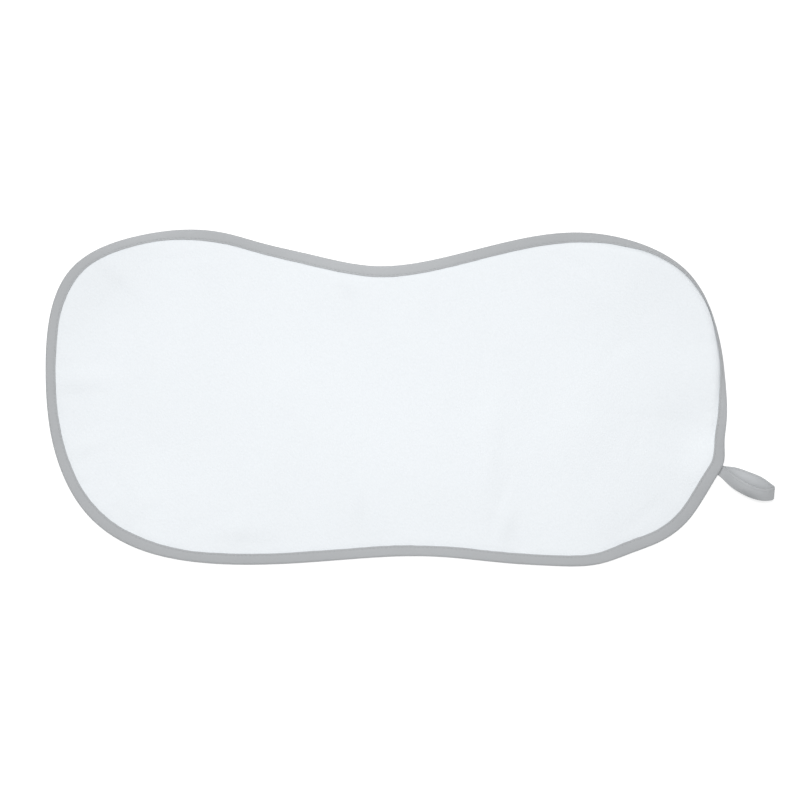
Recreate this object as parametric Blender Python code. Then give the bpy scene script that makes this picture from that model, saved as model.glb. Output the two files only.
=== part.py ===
"""A burp cloth lying face up: a white peanut-shaped panel, its grey folded binding and a hanging loop.

The tables and named sizes are in millimetres and degrees; the finished meshes are in metres, +Z up.
The origin is the middle of the panel's underside, +X along the length, and the floor is z = 0.
"""

import math

import bmesh
import bpy
import numpy as np

MM = 0.001

# Panel: its thickness, free and under the binding, and how far in it takes to swell to full
PANEL_THICK = 3.0
PRESSED_THICK = 1.8
PRESS_FADE = 4.5

# The panel's middle has a grid of cells, and its edge has rows under the binding and just inside it
GRID_LONG = 48
GRID_ACROSS = 26
ROWS_UNDER_BINDING = (3.0, 0.0)
ROWS_INSIDE_BINDING = (0.4, 2.4, 4.7)

# Binding, a tape folded over the panel's edge
TAPE_THICK = 0.7
SEAT_GAP = 0.3
FOLD_INNER = PRESSED_THICK / 2 + SEAT_GAP
FOLD_OUTER = FOLD_INNER + TAPE_THICK
BINDING_MID_ROW = 3.0
OUTER_FOLD_STEPS = 6
INNER_FOLD_STEPS = 4

# Edge zone: the arc over which a turned-down edge bends, and the ring where the flat middle starts
BEND_ARC = 12.5
FLAT_TURN = math.radians(0.05)
EDGE_ARC = 14.5
CREST_REACH = 75.0

# Silhouette of the bound cloth, counter-clockwise from the right: place, x, y
OUTLINE = (
    ("right_end", 254.4, 5.0),
    ("right_shoulder", 246.0, 55.5),
    ("upper_right_corner", 226.5, 93.5),
    ("upper_right_turn", 186.5, 117.0),
    ("right_crown", 140.0, 124.0),
    ("right_neck", 90.3, 116.9),
    ("waist_right", 47.5, 106.3),
    ("waist_top", -9.0, 99.0),
    ("waist_left", -57.4, 107.9),
    ("left_neck", -93.8, 116.5),
    ("left_crown", -121.5, 123.9),
    ("upper_left_turn", -179.4, 122.6),
    ("upper_left_corner", -234.1, 97.6),
    ("left_end", -253.7, 18.0),
    ("lower_left_side", -245.4, -44.4),
    ("lower_left_corner", -222.2, -87.1),
    ("lower_left_turn", -201.5, -104.0),
    ("left_hip", -127.5, -123.3),
    ("waist_left_low", -40.0, -121.0),
    ("waist_bottom", 35.0, -117.9),
    ("right_hip", 93.5, -123.1),
    ("right_hip_low", 125.0, -124.9),
    ("lower_right_turn", 160.0, -123.4),
    ("lower_right_slope", 184.0, -115.2),
    ("lower_right_corner", 208.5, -105.0),
    ("lower_right_side", 226.3, -90.5),
    ("loop_side", 235.2, -78.1),
    ("below_loop", 246.6, -58.8),
    ("above_loop", 252.3, -47.5),
    ("right_end_low", 252.9, -33.5),
    ("right_end_middle", 254.5, -18.0),
)
OUTLINE_STEPS = 32

# The four places where the panel's grid has its corners: place, x, y
GRID_CORNERS = (
    ("lower_left", -205.0, -102.0),
    ("lower_right", 207.0, -105.0),
    ("upper_right", 214.0, 103.0),
    ("upper_left", -214.0, 112.0),
)

# How the edge is finished, in order round the outline: place, x, y, width of the binding, turn-down
EDGE = (
    ("right_side_low", 253.5, -34.0, 8.0, 3.0),
    ("right_end_low", 254.0, -15.5, 8.0, 21.0),
    ("right_end", 254.3, 1.0, 8.0, 46.0),
    ("right_side", 253.5, 15.0, 8.0, 72.0),
    ("right_side_high", 251.5, 29.0, 8.0, 95.0),
    ("right_shoulder", 248.5, 45.0, 8.0, 106.0),
    ("corner_tuck", 243.0, 65.0, 8.0, 130.0),
    ("tuck_end", 238.5, 76.0, 8.0, 115.0),
    ("upper_right_corner", 232.5, 85.5, 8.0, 97.0),
    ("upper_right_turn", 215.0, 103.0, 8.0, 84.0),
    ("crown_side", 195.0, 114.0, 8.0, 71.0),
    ("crown_fold", 180.0, 119.0, 8.0, 50.0),
    ("crown_middle", 165.0, 122.0, 8.0, 40.0),
    ("crown_edge", 148.0, 123.8, 8.0, 26.0),
    ("crown", 124.0, 123.6, 8.0, 0.0),
    ("left_crown", -134.0, 125.0, 8.0, 0.0),
    ("upper_left_turn", -182.0, 122.0, 6.7, 0.0),
    ("upper_left_side", -214.0, 112.0, 7.1, 0.0),
    ("upper_left_corner", -240.0, 90.0, 8.0, 0.0),
    ("left_end", -253.0, 20.0, 7.6, 0.0),
    ("lower_left_side", -247.0, -38.0, 8.0, 0.0),
    ("lower_left_corner", -228.0, -79.0, 8.7, 0.0),
    ("lower_left_turn", -200.0, -104.0, 9.0, 0.0),
    ("left_hip", -145.0, -122.0, 8.1, 0.0),
    ("right_hip", 140.0, -124.5, 8.1, 0.0),
    ("lower_right_turn", 186.0, -115.0, 9.2, 0.0),
    ("lower_right_side", 236.0, -77.0, 9.4, 0.0),
    ("loop_root", 252.0, -46.0, 9.0, 0.0),
)

# Soft ridges in the laid panel: place, x, y, heading, half length, half width, height
RIDGES = (
    ("upper_left_pucker", -196.0, 92.0, -42.0, 34.0, 12.0, 1.0),
    ("left_crown_pucker", -134.0, 102.0, -78.0, 30.0, 11.0, 0.8),
    ("left_end_pucker", -226.0, 14.0, 4.0, 36.0, 13.0, 1.1),
    ("left_end_low_pucker", -222.0, -34.0, 22.0, 30.0, 11.0, 0.7),
    ("lower_left_pucker", -190.0, -84.0, 40.0, 32.0, 12.0, 1.0),
    ("left_hip_pucker", -112.0, -100.0, 72.0, 30.0, 12.0, 0.7),
    ("waist_pucker", -12.0, -88.0, 96.0, 38.0, 13.0, 0.9),
    ("waist_top_pucker", 30.0, 82.0, -84.0, 28.0, 12.0, 0.7),
    ("middle_crease", 77.0, -44.0, 84.0, 72.0, 14.0, 1.4),
    ("right_hip_pucker", 92.0, -98.0, 102.0, 30.0, 11.0, 1.0),
    ("lower_right_pucker", 165.0, -88.0, 112.0, 34.0, 13.0, 0.9),
    ("right_lobe_swell", 158.0, 6.0, 64.0, 80.0, 34.0, 1.2),
    ("left_lobe_swell", -158.0, -4.0, 105.0, 70.0, 30.0, 0.8),
)

# Hanging loop: where it leaves the edge, its heading, and the lift of the edge over its sewn ends
LOOP_ROOT = (250.9, -54.1)
LOOP_HEADING = -24.0
LOOP_ACROSS = 4
LOOP_STEPS = 4
SEAT_LIFT = 2.25
SEAT_INSET = 4.0
SEAT_FLAT = 9.5
SEAT_REACH = 32.0

# The loop's tape from end to end: place, along, side, height, lean, thickness, crown, width, skew
LOOP = (
    ("lower_end", -7.5, 0.0, 0.43, 0.0, 0.8, 0.0, 7.4, 0.0),
    ("lower_root", 0.0, 0.4, 0.48, 0.0, 0.85, 0.0, 7.5, 0.0),
    ("lower_spread", 8.0, 2.3, 0.85, 0.0, 1.2, -0.15, 8.4, 0.0),
    ("lower_middle", 19.0, 3.3, 1.15, -3.0, 1.2, -0.3, 9.0, 0.0),
    ("lower_outer", 30.0, 3.3, 1.35, -1.0, 1.2, -0.2, 9.2, 4.0),
    ("lower_turn", 37.6, 1.7, 2.9, 6.0, 1.2, 0.1, 9.3, 14.0),
    ("tip", 41.6, 0.6, 6.2, 12.0, 1.2, 0.2, 9.4, 22.0),
    ("upper_turn", 39.0, -1.9, 9.5, 15.0, 1.2, 0.3, 9.3, 14.0),
    ("upper_outer", 31.0, -5.0, 11.1, 17.0, 1.2, 0.8, 9.1, 4.0),
    ("upper_middle", 20.0, -5.5, 10.8, 18.0, 1.2, 1.0, 9.0, 0.0),
    ("upper_spread", 9.5, -3.6, 6.5, 14.0, 1.2, 0.6, 8.6, 0.0),
    ("upper_root", 0.0, -0.4, 1.56, 1.0, 0.85, 0.0, 7.5, 0.0),
    ("upper_end", -7.5, -0.2, 1.5, 0.0, 0.8, 0.0, 7.4, 0.0),
)

# Finish: linear colours, roughness, and the angle past which an edge shades sharp
COTTON_WHITE = (0.83, 0.87, 0.9, 1.0)
COTTON_ROUGHNESS = 0.95
TAPE_GREY = (0.44, 0.46, 0.47, 1.0)
TAPE_ROUGHNESS = 0.9
SHARP_ANGLE = math.radians(50.0)

# Points closer than this are one point
MERGE_DISTANCE = 0.002


def cubic(start, end, start_slope, end_slope, t):
    """Point at t, from 0 to 1, on the cubic with these ends and these slopes over the step."""
    first = (2 * t**3 - 3 * t**2 + 1) * start + (t**3 - 2 * t**2 + t) * start_slope
    return first + (3 * t**2 - 2 * t**3) * end + (t**3 - t**2) * end_slope


def spline(points, closed, steps):
    """Points on a smooth cubic through the given rows, with chord-length knots."""
    points = np.asarray(points, dtype=float)
    count = len(points)
    gaps = np.linalg.norm((np.roll(points, -1, 0) - points)[:, :2], axis=1)
    matrix = np.zeros((count, count))
    right = np.zeros(points.shape)
    for i in range(count):
        after = (i + 1) % count
        if not closed and i in (0, count - 1):
            other = 1 if i == 0 else count - 2
            matrix[i, i] = 1.0
            right[i] = (points[max(i, other)] - points[min(i, other)]) / gaps[min(i, other)]
            continue
        matrix[i, i - 1] = gaps[i]
        matrix[i, i] = 2 * (gaps[i - 1] + gaps[i])
        matrix[i, after] = gaps[i - 1]
        right[i] = 3 * gaps[i] * (points[i] - points[i - 1]) / gaps[i - 1]
        right[i] += 3 * gaps[i - 1] * (points[after] - points[i]) / gaps[i]
    slopes = np.linalg.solve(matrix, right)
    spans = count if closed else count - 1
    curve = []
    for i in range(spans):
        after = (i + 1) % count
        for t in np.arange(steps) / steps:
            curve.append(cubic(points[i], points[after], gaps[i] * slopes[i], gaps[i] * slopes[after], t))
    if not closed:
        curve.append(points[-1])
    return np.array(curve)


def fade(t):
    """1 at t = 0, falling smoothly to 0 at t = 1."""
    return 0.5 + 0.5 * np.cos(math.pi * np.clip(t, 0.0, 1.0))


class Edge:
    """The cloth's silhouette by distance along it, with its outward normal, binding and turn-down."""

    def __init__(self):
        self.points = spline([row[1:3] for row in OUTLINE], True, OUTLINE_STEPS)
        ahead = np.roll(self.points, -1, 0)
        lengths = np.linalg.norm(ahead - self.points, axis=1)
        self.along = np.concatenate([[0.0], np.cumsum(lengths)[:-1]])
        self.length = lengths.sum()
        tangent = ahead - np.roll(self.points, 1, 0)
        tangent /= np.linalg.norm(tangent, axis=1)[:, None]
        self.normals = np.stack([tangent[:, 1], -tangent[:, 0]], axis=1)
        rows = sorted((self.nearest(row[1], row[2])[0], row[3], row[4]) for row in EDGE)
        self.stops = np.array(rows)
        self.spans = (np.roll(self.stops[:, 0], -1) - self.stops[:, 0]) % self.length
        rise = (np.roll(self.stops[:, 1:], -1, 0) - self.stops[:, 1:]) / self.spans[:, None]
        before = np.roll(rise, 1, 0)
        same_way = before * rise > 0
        self.slopes = np.where(same_way, 2 * before * rise / np.where(same_way, before + rise, 1.0), 0.0)

    def nearest(self, x, y):
        """Distance along the edge of the nearest silhouette point, and how far in the place lies."""
        place = np.stack([np.atleast_1d(x), np.atleast_1d(y)], axis=1)
        gaps = np.linalg.norm(place[:, None] - self.points[None], axis=2)
        pick = gaps.argmin(axis=1)
        inset = ((self.points[pick] - place) * self.normals[pick]).sum(axis=1)
        if np.ndim(x) == 0:
            return self.along[pick[0]], inset[0]
        return self.along[pick], inset

    def at(self, along):
        """Place and outward normal at a distance along the edge."""
        place = [np.interp(along, self.along, self.points[:, k], period=self.length) for k in (0, 1)]
        normal = [np.interp(along, self.along, self.normals[:, k], period=self.length) for k in (0, 1)]
        normal = np.array(normal)
        return np.array(place), normal / np.linalg.norm(normal, axis=0)

    def finish(self, along):
        """Width of the binding and turn-down angle, on a curve that stays within the table's rows."""
        index = np.searchsorted(self.stops[:, 0], along, side="right") - 1
        after = (index + 1) % len(self.stops)
        span = np.expand_dims(self.spans[index], -1)
        t = np.expand_dims((along - self.stops[index, 0]) % self.length, -1) / span
        start_slope = self.slopes[index] * span
        end_slope = self.slopes[after] * span
        value = cubic(self.stops[index, 1:], self.stops[after, 1:], start_slope, end_slope, t)
        return value[..., 0], np.radians(value[..., 1])


EDGE_LINE = Edge()


def bend(turn, arc):
    """Inset, climb and slope at an arc distance from the fold's centre, where the edge turns down.

    An edge that is turned past upright is tucked in, so that its bend stays on the silhouette.
    """
    flat = turn < FLAT_TURN
    turn = np.maximum(turn, FLAT_TURN)
    radius = BEND_ARC / turn
    slope = turn * (1.0 - np.clip(arc, 0.0, BEND_ARC) / BEND_ARC)
    tuck = np.where(turn > math.pi / 2, radius * (1.0 - np.sin(turn)), 0.0)
    inset = tuck + radius * (np.sin(turn) - np.sin(slope)) + np.maximum(arc - BEND_ARC, 0.0)
    climb = np.where(flat, 0.0, radius * (np.cos(slope) - np.cos(turn)))
    return inset, climb, np.where(flat, 0.0, slope)


def lift(x, y):
    """Height by which soft ridges and the loop's sewn ends raise the panel from the floor."""
    height = np.zeros(np.shape(x))
    for _, cx, cy, heading, half_length, half_width, rise in RIDGES:
        turn = math.radians(heading)
        run = (x - cx) * math.cos(turn) + (y - cy) * math.sin(turn)
        cross = (y - cy) * math.cos(turn) - (x - cx) * math.sin(turn)
        height = height + rise * fade(np.abs(run) / half_length) * fade(np.abs(cross) / half_width)
    heading = math.radians(LOOP_HEADING)
    seat_x = LOOP_ROOT[0] - SEAT_INSET * math.cos(heading)
    seat_y = LOOP_ROOT[1] - SEAT_INSET * math.sin(heading)
    away = np.hypot(x - seat_x, y - seat_y) - SEAT_FLAT
    return height + SEAT_LIFT * fade(away / (SEAT_REACH - SEAT_FLAT))


def edge_point(along, arc, offset):
    """A point in the bound edge: arc distance in from the fold's centre, offset from the mid surface."""
    place, normal = EDGE_LINE.at(along)
    band, turn = EDGE_LINE.finish(along)
    inset, climb, slope = bend(turn, max(arc, 0.0))
    x, y = place - normal * (FOLD_OUTER + inset)
    pressed = fade((arc - (band - FOLD_OUTER)) / PRESS_FADE)
    middle = FOLD_OUTER + (PANEL_THICK / 2 - FOLD_OUTER) * (1.0 - pressed)
    beyond = max(-arc, 0.0)
    out = offset * np.sin(slope) + beyond * np.cos(slope)
    rise = offset * np.cos(slope) - beyond * np.sin(slope)
    return np.array([x + normal[0] * out, y + normal[1] * out, middle + climb + lift(x, y) + rise])


def panel_half(along, arc):
    """Half the panel's thickness: pressed under the binding, full inside it."""
    band, _ = EDGE_LINE.finish(along)
    pressed = fade((arc - (band - FOLD_OUTER)) / PRESS_FADE)
    return (PANEL_THICK - (PANEL_THICK - PRESSED_THICK) * pressed) / 2


def crest(x, y):
    """Height of the panel inside a turned-down edge, fading to nothing towards the middle."""
    along, inset = EDGE_LINE.nearest(x, y)
    _, turn = EDGE_LINE.finish(along)
    edge_inset, climb, _ = bend(turn, EDGE_ARC)
    return climb * fade((inset - FOLD_OUTER - edge_inset) / CREST_REACH)


def ring_stations():
    """Distances along the edge of the grid's border points, from the lower left corner round."""
    corners = [EDGE_LINE.nearest(x, y)[0] for _, x, y in GRID_CORNERS]
    stations = []
    for i, count in enumerate((GRID_LONG, GRID_ACROSS, GRID_LONG, GRID_ACROSS)):
        span = (corners[(i + 1) % 4] - corners[i]) % EDGE_LINE.length
        stations += [(corners[i] + span * k / count) % EDGE_LINE.length for k in range(count)]
    return stations


STATIONS = ring_stations()


def add_grid(bm, columns, rows, place):
    """Adds a grid whose points are moved to place(column, row), in millimetres."""
    made = bmesh.ops.create_grid(bm, x_segments=columns, y_segments=rows, size=1.0)
    for vert in made["verts"]:
        column = round((vert.co.x + 1.0) / 2.0 * columns)
        row = round((vert.co.y + 1.0) / 2.0 * rows)
        vert.co = place(column, row) * MM


def finish_object(name, bm, color, roughness):
    """Closes the mesh, points its faces out and gives it a named object with its own material."""
    bmesh.ops.remove_doubles(bm, verts=bm.verts, dist=MERGE_DISTANCE * MM)
    open_edges = [edge for edge in bm.edges if edge.is_boundary]
    if open_edges:
        bmesh.ops.holes_fill(bm, edges=open_edges, sides=0)
    bmesh.ops.recalc_face_normals(bm, faces=bm.faces)
    bmesh.ops.triangulate(bm, faces=bm.faces, quad_method="BEAUTY", ngon_method="BEAUTY")
    mesh = bpy.data.meshes.new(name)
    bm.to_mesh(mesh)
    bm.free()
    mesh.shade_smooth()
    mesh.set_sharp_from_angle(angle=SHARP_ANGLE)
    material = bpy.data.materials.new(name)
    material.use_nodes = True
    shader = material.node_tree.nodes["Principled BSDF"]
    shader.inputs["Base Color"].default_value = color
    shader.inputs["Roughness"].default_value = roughness
    shader.inputs["Metallic"].default_value = 0.0
    mesh.materials.append(material)
    obj = bpy.data.objects.new(name, mesh)
    bpy.context.scene.collection.objects.link(obj)
    return obj


def border_index(column, row):
    """Place in the ring of stations of a grid point on the border."""
    if row == 0:
        return column
    if column == GRID_LONG:
        return GRID_LONG + row
    if row == GRID_ACROSS:
        return GRID_LONG + GRID_ACROSS + (GRID_LONG - column)
    return 2 * GRID_LONG + GRID_ACROSS + (GRID_ACROSS - row)


def make_cloth():
    """The panel: a flat middle inside four border arcs, and a pressed edge that the binding holds."""
    count = len(STATIONS)
    ring = [edge_point(along, EDGE_ARC, 0.0)[:2] for along in STATIONS]

    def middle_plan(column, row):
        """Plan position inside the ring, blended from its four sides."""
        u = column / GRID_LONG
        v = row / GRID_ACROSS
        low = ring[border_index(column, 0)]
        high = ring[border_index(column, GRID_ACROSS)]
        left = ring[border_index(0, row) % count]
        right = ring[border_index(GRID_LONG, row)]
        sides = (1 - v) * low + v * high + (1 - u) * left + u * right
        near = (1 - u) * ring[border_index(0, 0)] + u * ring[border_index(GRID_LONG, 0)]
        far = (1 - u) * ring[border_index(0, GRID_ACROSS)] + u * ring[border_index(GRID_LONG, GRID_ACROSS)]
        return sides - (1 - v) * near - v * far

    def middle(column, row, side):
        """A point of the middle's face (side 1) or back (side -1)."""
        on_border = column in (0, GRID_LONG) or row in (0, GRID_ACROSS)
        if on_border:
            along = STATIONS[border_index(column, row) % count]
            return edge_point(along, EDGE_ARC, side * PANEL_THICK / 2)
        x, y = middle_plan(column, row)
        return np.array([x, y, PANEL_THICK / 2 * (1 + side) + lift(x, y) + crest(x, y)])

    def rim(column, row):
        """A point of the edge zone, from the ring over the face, round the cut edge and back below."""
        along = STATIONS[column % count]
        inner = EDGE_LINE.finish(along)[0] - FOLD_OUTER
        arcs = [EDGE_ARC]
        arcs += [inner + step for step in reversed(ROWS_INSIDE_BINDING)]
        arcs += ROWS_UNDER_BINDING
        side = 1 if row < len(arcs) else -1
        arc = (arcs + arcs[::-1])[row]
        return edge_point(along, arc, side * panel_half(along, arc))

    bm = bmesh.new()
    add_grid(bm, GRID_LONG, GRID_ACROSS, lambda column, row: middle(column, row, 1))
    add_grid(bm, GRID_LONG, GRID_ACROSS, lambda column, row: middle(column, row, -1))
    face_rows = 1 + len(ROWS_INSIDE_BINDING) + len(ROWS_UNDER_BINDING)
    add_grid(bm, count, 2 * face_rows - 1, rim)
    return finish_object("cloth", bm, COTTON_WHITE, COTTON_ROUGHNESS)


def make_binding():
    """The binding: a tape folded over the panel's edge, one closed ring round the cloth."""
    count = len(STATIONS)

    def section(inner):
        """The folded tape's section as arc distance and offset, round its outside and back inside."""
        outer = [(inner, FOLD_OUTER), (BINDING_MID_ROW, FOLD_OUTER)]
        for k in range(OUTER_FOLD_STEPS + 1):
            angle = math.pi / 2 - math.pi * k / OUTER_FOLD_STEPS
            outer.append((-FOLD_OUTER * math.cos(angle), FOLD_OUTER * math.sin(angle)))
        outer += [(BINDING_MID_ROW, -FOLD_OUTER), (inner, -FOLD_OUTER)]
        inside = [(inner, -FOLD_INNER), (BINDING_MID_ROW, -FOLD_INNER)]
        for k in range(INNER_FOLD_STEPS + 1):
            angle = -math.pi / 2 + math.pi * k / INNER_FOLD_STEPS
            inside.append((-FOLD_INNER * math.cos(angle), FOLD_INNER * math.sin(angle)))
        return outer + inside + [(BINDING_MID_ROW, FOLD_INNER), (inner, FOLD_INNER)]

    def place(column, row):
        """A point of the tape at a station of the edge."""
        along = STATIONS[column % count]
        points = section(EDGE_LINE.finish(along)[0] - FOLD_OUTER)
        arc, offset = points[row % len(points)]
        return edge_point(along, arc, offset)

    bm = bmesh.new()
    add_grid(bm, count, len(section(FOLD_OUTER)), place)
    return finish_object("binding", bm, TAPE_GREY, TAPE_ROUGHNESS)


def make_loop():
    """The hanging loop: a folded tape bent into a leaning hairpin, its ends flat under the binding."""
    heading = math.radians(LOOP_HEADING)
    ahead = np.array([math.cos(heading), math.sin(heading), 0.0])
    sideways = np.array([-ahead[1], ahead[0], 0.0])
    up = np.array([0.0, 0.0, 1.0])
    root = np.array([*LOOP_ROOT, 0.0])
    table = np.array([row[1:] for row in LOOP])
    places = root + table[:, :1] * ahead + table[:, 1:2] * sideways + table[:, 2:3] * up
    chords = np.concatenate([[0.0], np.cumsum(np.linalg.norm(np.diff(places, axis=0), axis=1))])
    knots = np.column_stack([chords, np.zeros(len(chords)), places, table[:, 3:]])
    line = spline(knots, False, LOOP_STEPS)
    centre = line[:, 2:5]
    lean = np.radians(line[:, 5])
    thick = line[:, 6]
    crown = line[:, 7]
    half_width = line[:, 8] / 2
    skew = np.radians(line[:, 9])
    tangent = np.gradient(centre, axis=0)
    tangent /= np.linalg.norm(tangent, axis=1)[:, None]
    face_points = LOOP_ACROSS + 1

    def place(column, row):
        """A point of the tape's section: across its outer face, then back across its inner one."""
        row = row % (2 * face_points)
        outer = row < face_points
        q = 2 * (row if outer else 2 * face_points - 1 - row) / LOOP_ACROSS - 1
        level = math.cos(skew[column]) * sideways - math.sin(skew[column]) * ahead
        across = math.cos(lean[column]) * level + math.sin(lean[column]) * up
        across -= np.dot(across, tangent[column]) * tangent[column]
        across /= np.linalg.norm(across)
        inward = np.cross(tangent[column], across)
        depth = crown[column] * q * q + (-0.5 if outer else 0.5) * thick[column]
        return centre[column] + across * q * half_width[column] + inward * depth

    bm = bmesh.new()
    add_grid(bm, len(line) - 1, 2 * face_points, place)
    return finish_object("loop", bm, TAPE_GREY, TAPE_ROUGHNESS)


def main():
    """Clears the scene and makes the three pieces."""
    for old in list(bpy.data.objects):
        bpy.data.objects.remove(old, do_unlink=True)
    make_cloth()
    make_binding()
    make_loop()


main()
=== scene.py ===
"""Looks of a burp cloth lying face up: white short-pile cotton edged with a folded grey bias tape.

The peanut-shaped panel, its binding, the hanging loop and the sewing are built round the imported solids.
Tables and fields are in millimetres and degrees, and the finished meshes in metres, +Z up, with the
origin at the middle of the panel's underside and the floor at z = 0.
"""

import logging
import math
from dataclasses import dataclass, field
from enum import Enum
from typing import Callable, NamedTuple

import bmesh
import bpy
import numpy as np
from mathutils import Matrix, Vector, kdtree


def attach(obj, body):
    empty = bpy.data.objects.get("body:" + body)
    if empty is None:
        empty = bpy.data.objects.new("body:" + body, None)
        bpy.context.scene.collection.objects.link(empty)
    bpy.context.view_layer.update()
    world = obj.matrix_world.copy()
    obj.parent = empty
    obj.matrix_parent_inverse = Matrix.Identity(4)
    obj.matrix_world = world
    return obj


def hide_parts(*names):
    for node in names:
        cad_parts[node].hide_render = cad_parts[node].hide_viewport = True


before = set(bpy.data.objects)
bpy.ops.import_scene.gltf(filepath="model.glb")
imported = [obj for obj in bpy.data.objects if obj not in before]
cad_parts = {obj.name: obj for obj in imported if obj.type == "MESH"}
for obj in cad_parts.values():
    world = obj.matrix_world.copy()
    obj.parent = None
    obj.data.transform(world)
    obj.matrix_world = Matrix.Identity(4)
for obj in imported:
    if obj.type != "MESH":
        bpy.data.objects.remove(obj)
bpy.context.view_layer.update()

LOG = logging.getLogger("burp_cloth")
MM = 0.001
ROOT_BODY = "root"
# Name of the point attribute that holds the painted light and shade
PAINTED_LIGHT_LAYER = "PaintedLightAndShade"
FLOOR_NAME = "floor"

Array = np.ndarray
Color = tuple[float, float, float, float]
Place = Callable[[Array, Array], Array]


class Slot(Enum):
    """Material slots of the record."""

    WHITE_COTTON = "white_cotton"
    GREY_TAPE = "grey_tape"
    GREY_THREAD = "grey_thread"


class Side(Enum):
    """The two faces of the laid cloth; the value is the way that each faces."""

    FACE = 1
    BACK = -1


class OutlineRow(NamedTuple):
    """A place that the bound cloth's silhouette passes through."""

    place: str
    x: float
    y: float


class EdgeRow(NamedTuple):
    """How the edge is finished at a place: the width of the binding and the angle it is turned down."""

    place: str
    x: float
    y: float
    band: float
    turn: float


class LoopRow(NamedTuple):
    """A place along the hanging loop's tape, measured from where it leaves the edge."""

    place: str
    along: float
    side: float
    height: float
    lean: float
    thick: float
    crown: float
    width: float
    skew: float


@dataclass(frozen=True)
class SoftForm:
    """A soft ridge, or a trough where its height is negative, placed on the laid cloth."""

    name: str
    x: float
    y: float
    heading: float
    half_length: float
    half_width: float
    height: float

    def at(self, x: Array, y: Array) -> Array:
        """Height that the form adds at each place.

        Args:
            x: Places along the cloth.
            y: Places across the cloth.

        Returns:
            The height at each place.
        """
        turn = math.radians(self.heading)
        run = (x - self.x) * math.cos(turn) + (y - self.y) * math.sin(turn)
        cross = (y - self.y) * math.cos(turn) - (x - self.x) * math.sin(turn)
        return self.height * fade(np.abs(run) / self.half_length) * fade(np.abs(cross) / self.half_width)


# Silhouette of the bound cloth, counter-clockwise from the right
OUTLINE = (
    OutlineRow("right_end", 254.4, 5.0),
    OutlineRow("right_shoulder", 246.0, 55.5),
    OutlineRow("upper_right_corner", 226.5, 93.5),
    OutlineRow("upper_right_turn", 186.5, 117.0),
    OutlineRow("right_crown", 140.0, 124.0),
    OutlineRow("right_neck", 90.3, 116.9),
    OutlineRow("waist_right", 47.5, 106.3),
    OutlineRow("waist_top", -9.0, 99.0),
    OutlineRow("waist_left", -57.4, 107.9),
    OutlineRow("left_neck", -93.8, 116.5),
    OutlineRow("left_crown", -121.5, 123.9),
    OutlineRow("upper_left_turn", -179.4, 122.6),
    OutlineRow("upper_left_corner", -234.1, 97.6),
    OutlineRow("left_end", -253.7, 18.0),
    OutlineRow("lower_left_side", -245.4, -44.4),
    OutlineRow("lower_left_corner", -222.2, -87.1),
    OutlineRow("lower_left_turn", -201.5, -104.0),
    OutlineRow("left_hip", -127.5, -123.3),
    OutlineRow("waist_left_low", -40.0, -121.0),
    OutlineRow("waist_bottom", 35.0, -117.9),
    OutlineRow("right_hip", 93.5, -123.1),
    OutlineRow("right_hip_low", 125.0, -124.9),
    OutlineRow("lower_right_turn", 160.0, -123.4),
    OutlineRow("lower_right_slope", 184.0, -115.2),
    OutlineRow("lower_right_corner", 208.5, -105.0),
    OutlineRow("lower_right_side", 226.3, -90.5),
    OutlineRow("loop_side", 235.2, -78.1),
    OutlineRow("below_loop", 246.6, -58.8),
    OutlineRow("above_loop", 252.3, -47.5),
    OutlineRow("right_end_low", 252.9, -33.5),
    OutlineRow("right_end_middle", 254.5, -18.0),
)

# Finish of the edge, in order round the outline
EDGE = (
    EdgeRow("right_side_low", 253.5, -34.0, 8.0, 3.0),
    EdgeRow("right_end_low", 254.0, -15.5, 8.0, 21.0),
    EdgeRow("right_end", 254.3, 1.0, 8.0, 46.0),
    EdgeRow("right_side", 253.5, 15.0, 8.0, 72.0),
    EdgeRow("right_side_high", 251.5, 29.0, 8.0, 95.0),
    EdgeRow("right_shoulder", 248.5, 45.0, 8.0, 106.0),
    EdgeRow("corner_tuck", 243.0, 65.0, 8.0, 130.0),
    EdgeRow("tuck_end", 238.5, 76.0, 8.0, 115.0),
    EdgeRow("upper_right_corner", 232.5, 85.5, 8.0, 97.0),
    EdgeRow("upper_right_turn", 215.0, 103.0, 8.0, 84.0),
    EdgeRow("crown_side", 195.0, 114.0, 8.0, 71.0),
    EdgeRow("crown_fold", 180.0, 119.0, 8.0, 50.0),
    EdgeRow("crown_middle", 165.0, 122.0, 8.0, 40.0),
    EdgeRow("crown_edge", 148.0, 123.8, 8.0, 26.0),
    EdgeRow("crown", 124.0, 123.6, 8.0, 0.0),
    EdgeRow("left_crown", -134.0, 125.0, 8.0, 0.0),
    EdgeRow("upper_left_turn", -182.0, 122.0, 6.7, 0.0),
    EdgeRow("upper_left_side", -214.0, 112.0, 7.1, 0.0),
    EdgeRow("upper_left_corner", -240.0, 90.0, 8.0, 0.0),
    EdgeRow("left_end", -253.0, 20.0, 7.6, 0.0),
    EdgeRow("lower_left_side", -247.0, -38.0, 8.0, 0.0),
    EdgeRow("lower_left_corner", -228.0, -79.0, 8.7, 0.0),
    EdgeRow("lower_left_turn", -200.0, -104.0, 9.0, 0.0),
    EdgeRow("left_hip", -145.0, -122.0, 8.1, 0.0),
    EdgeRow("right_hip", 140.0, -124.5, 8.1, 0.0),
    EdgeRow("lower_right_turn", 186.0, -115.0, 9.2, 0.0),
    EdgeRow("lower_right_side", 236.0, -77.0, 9.4, 0.0),
    EdgeRow("loop_root", 252.0, -46.0, 9.0, 0.0),
)

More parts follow.
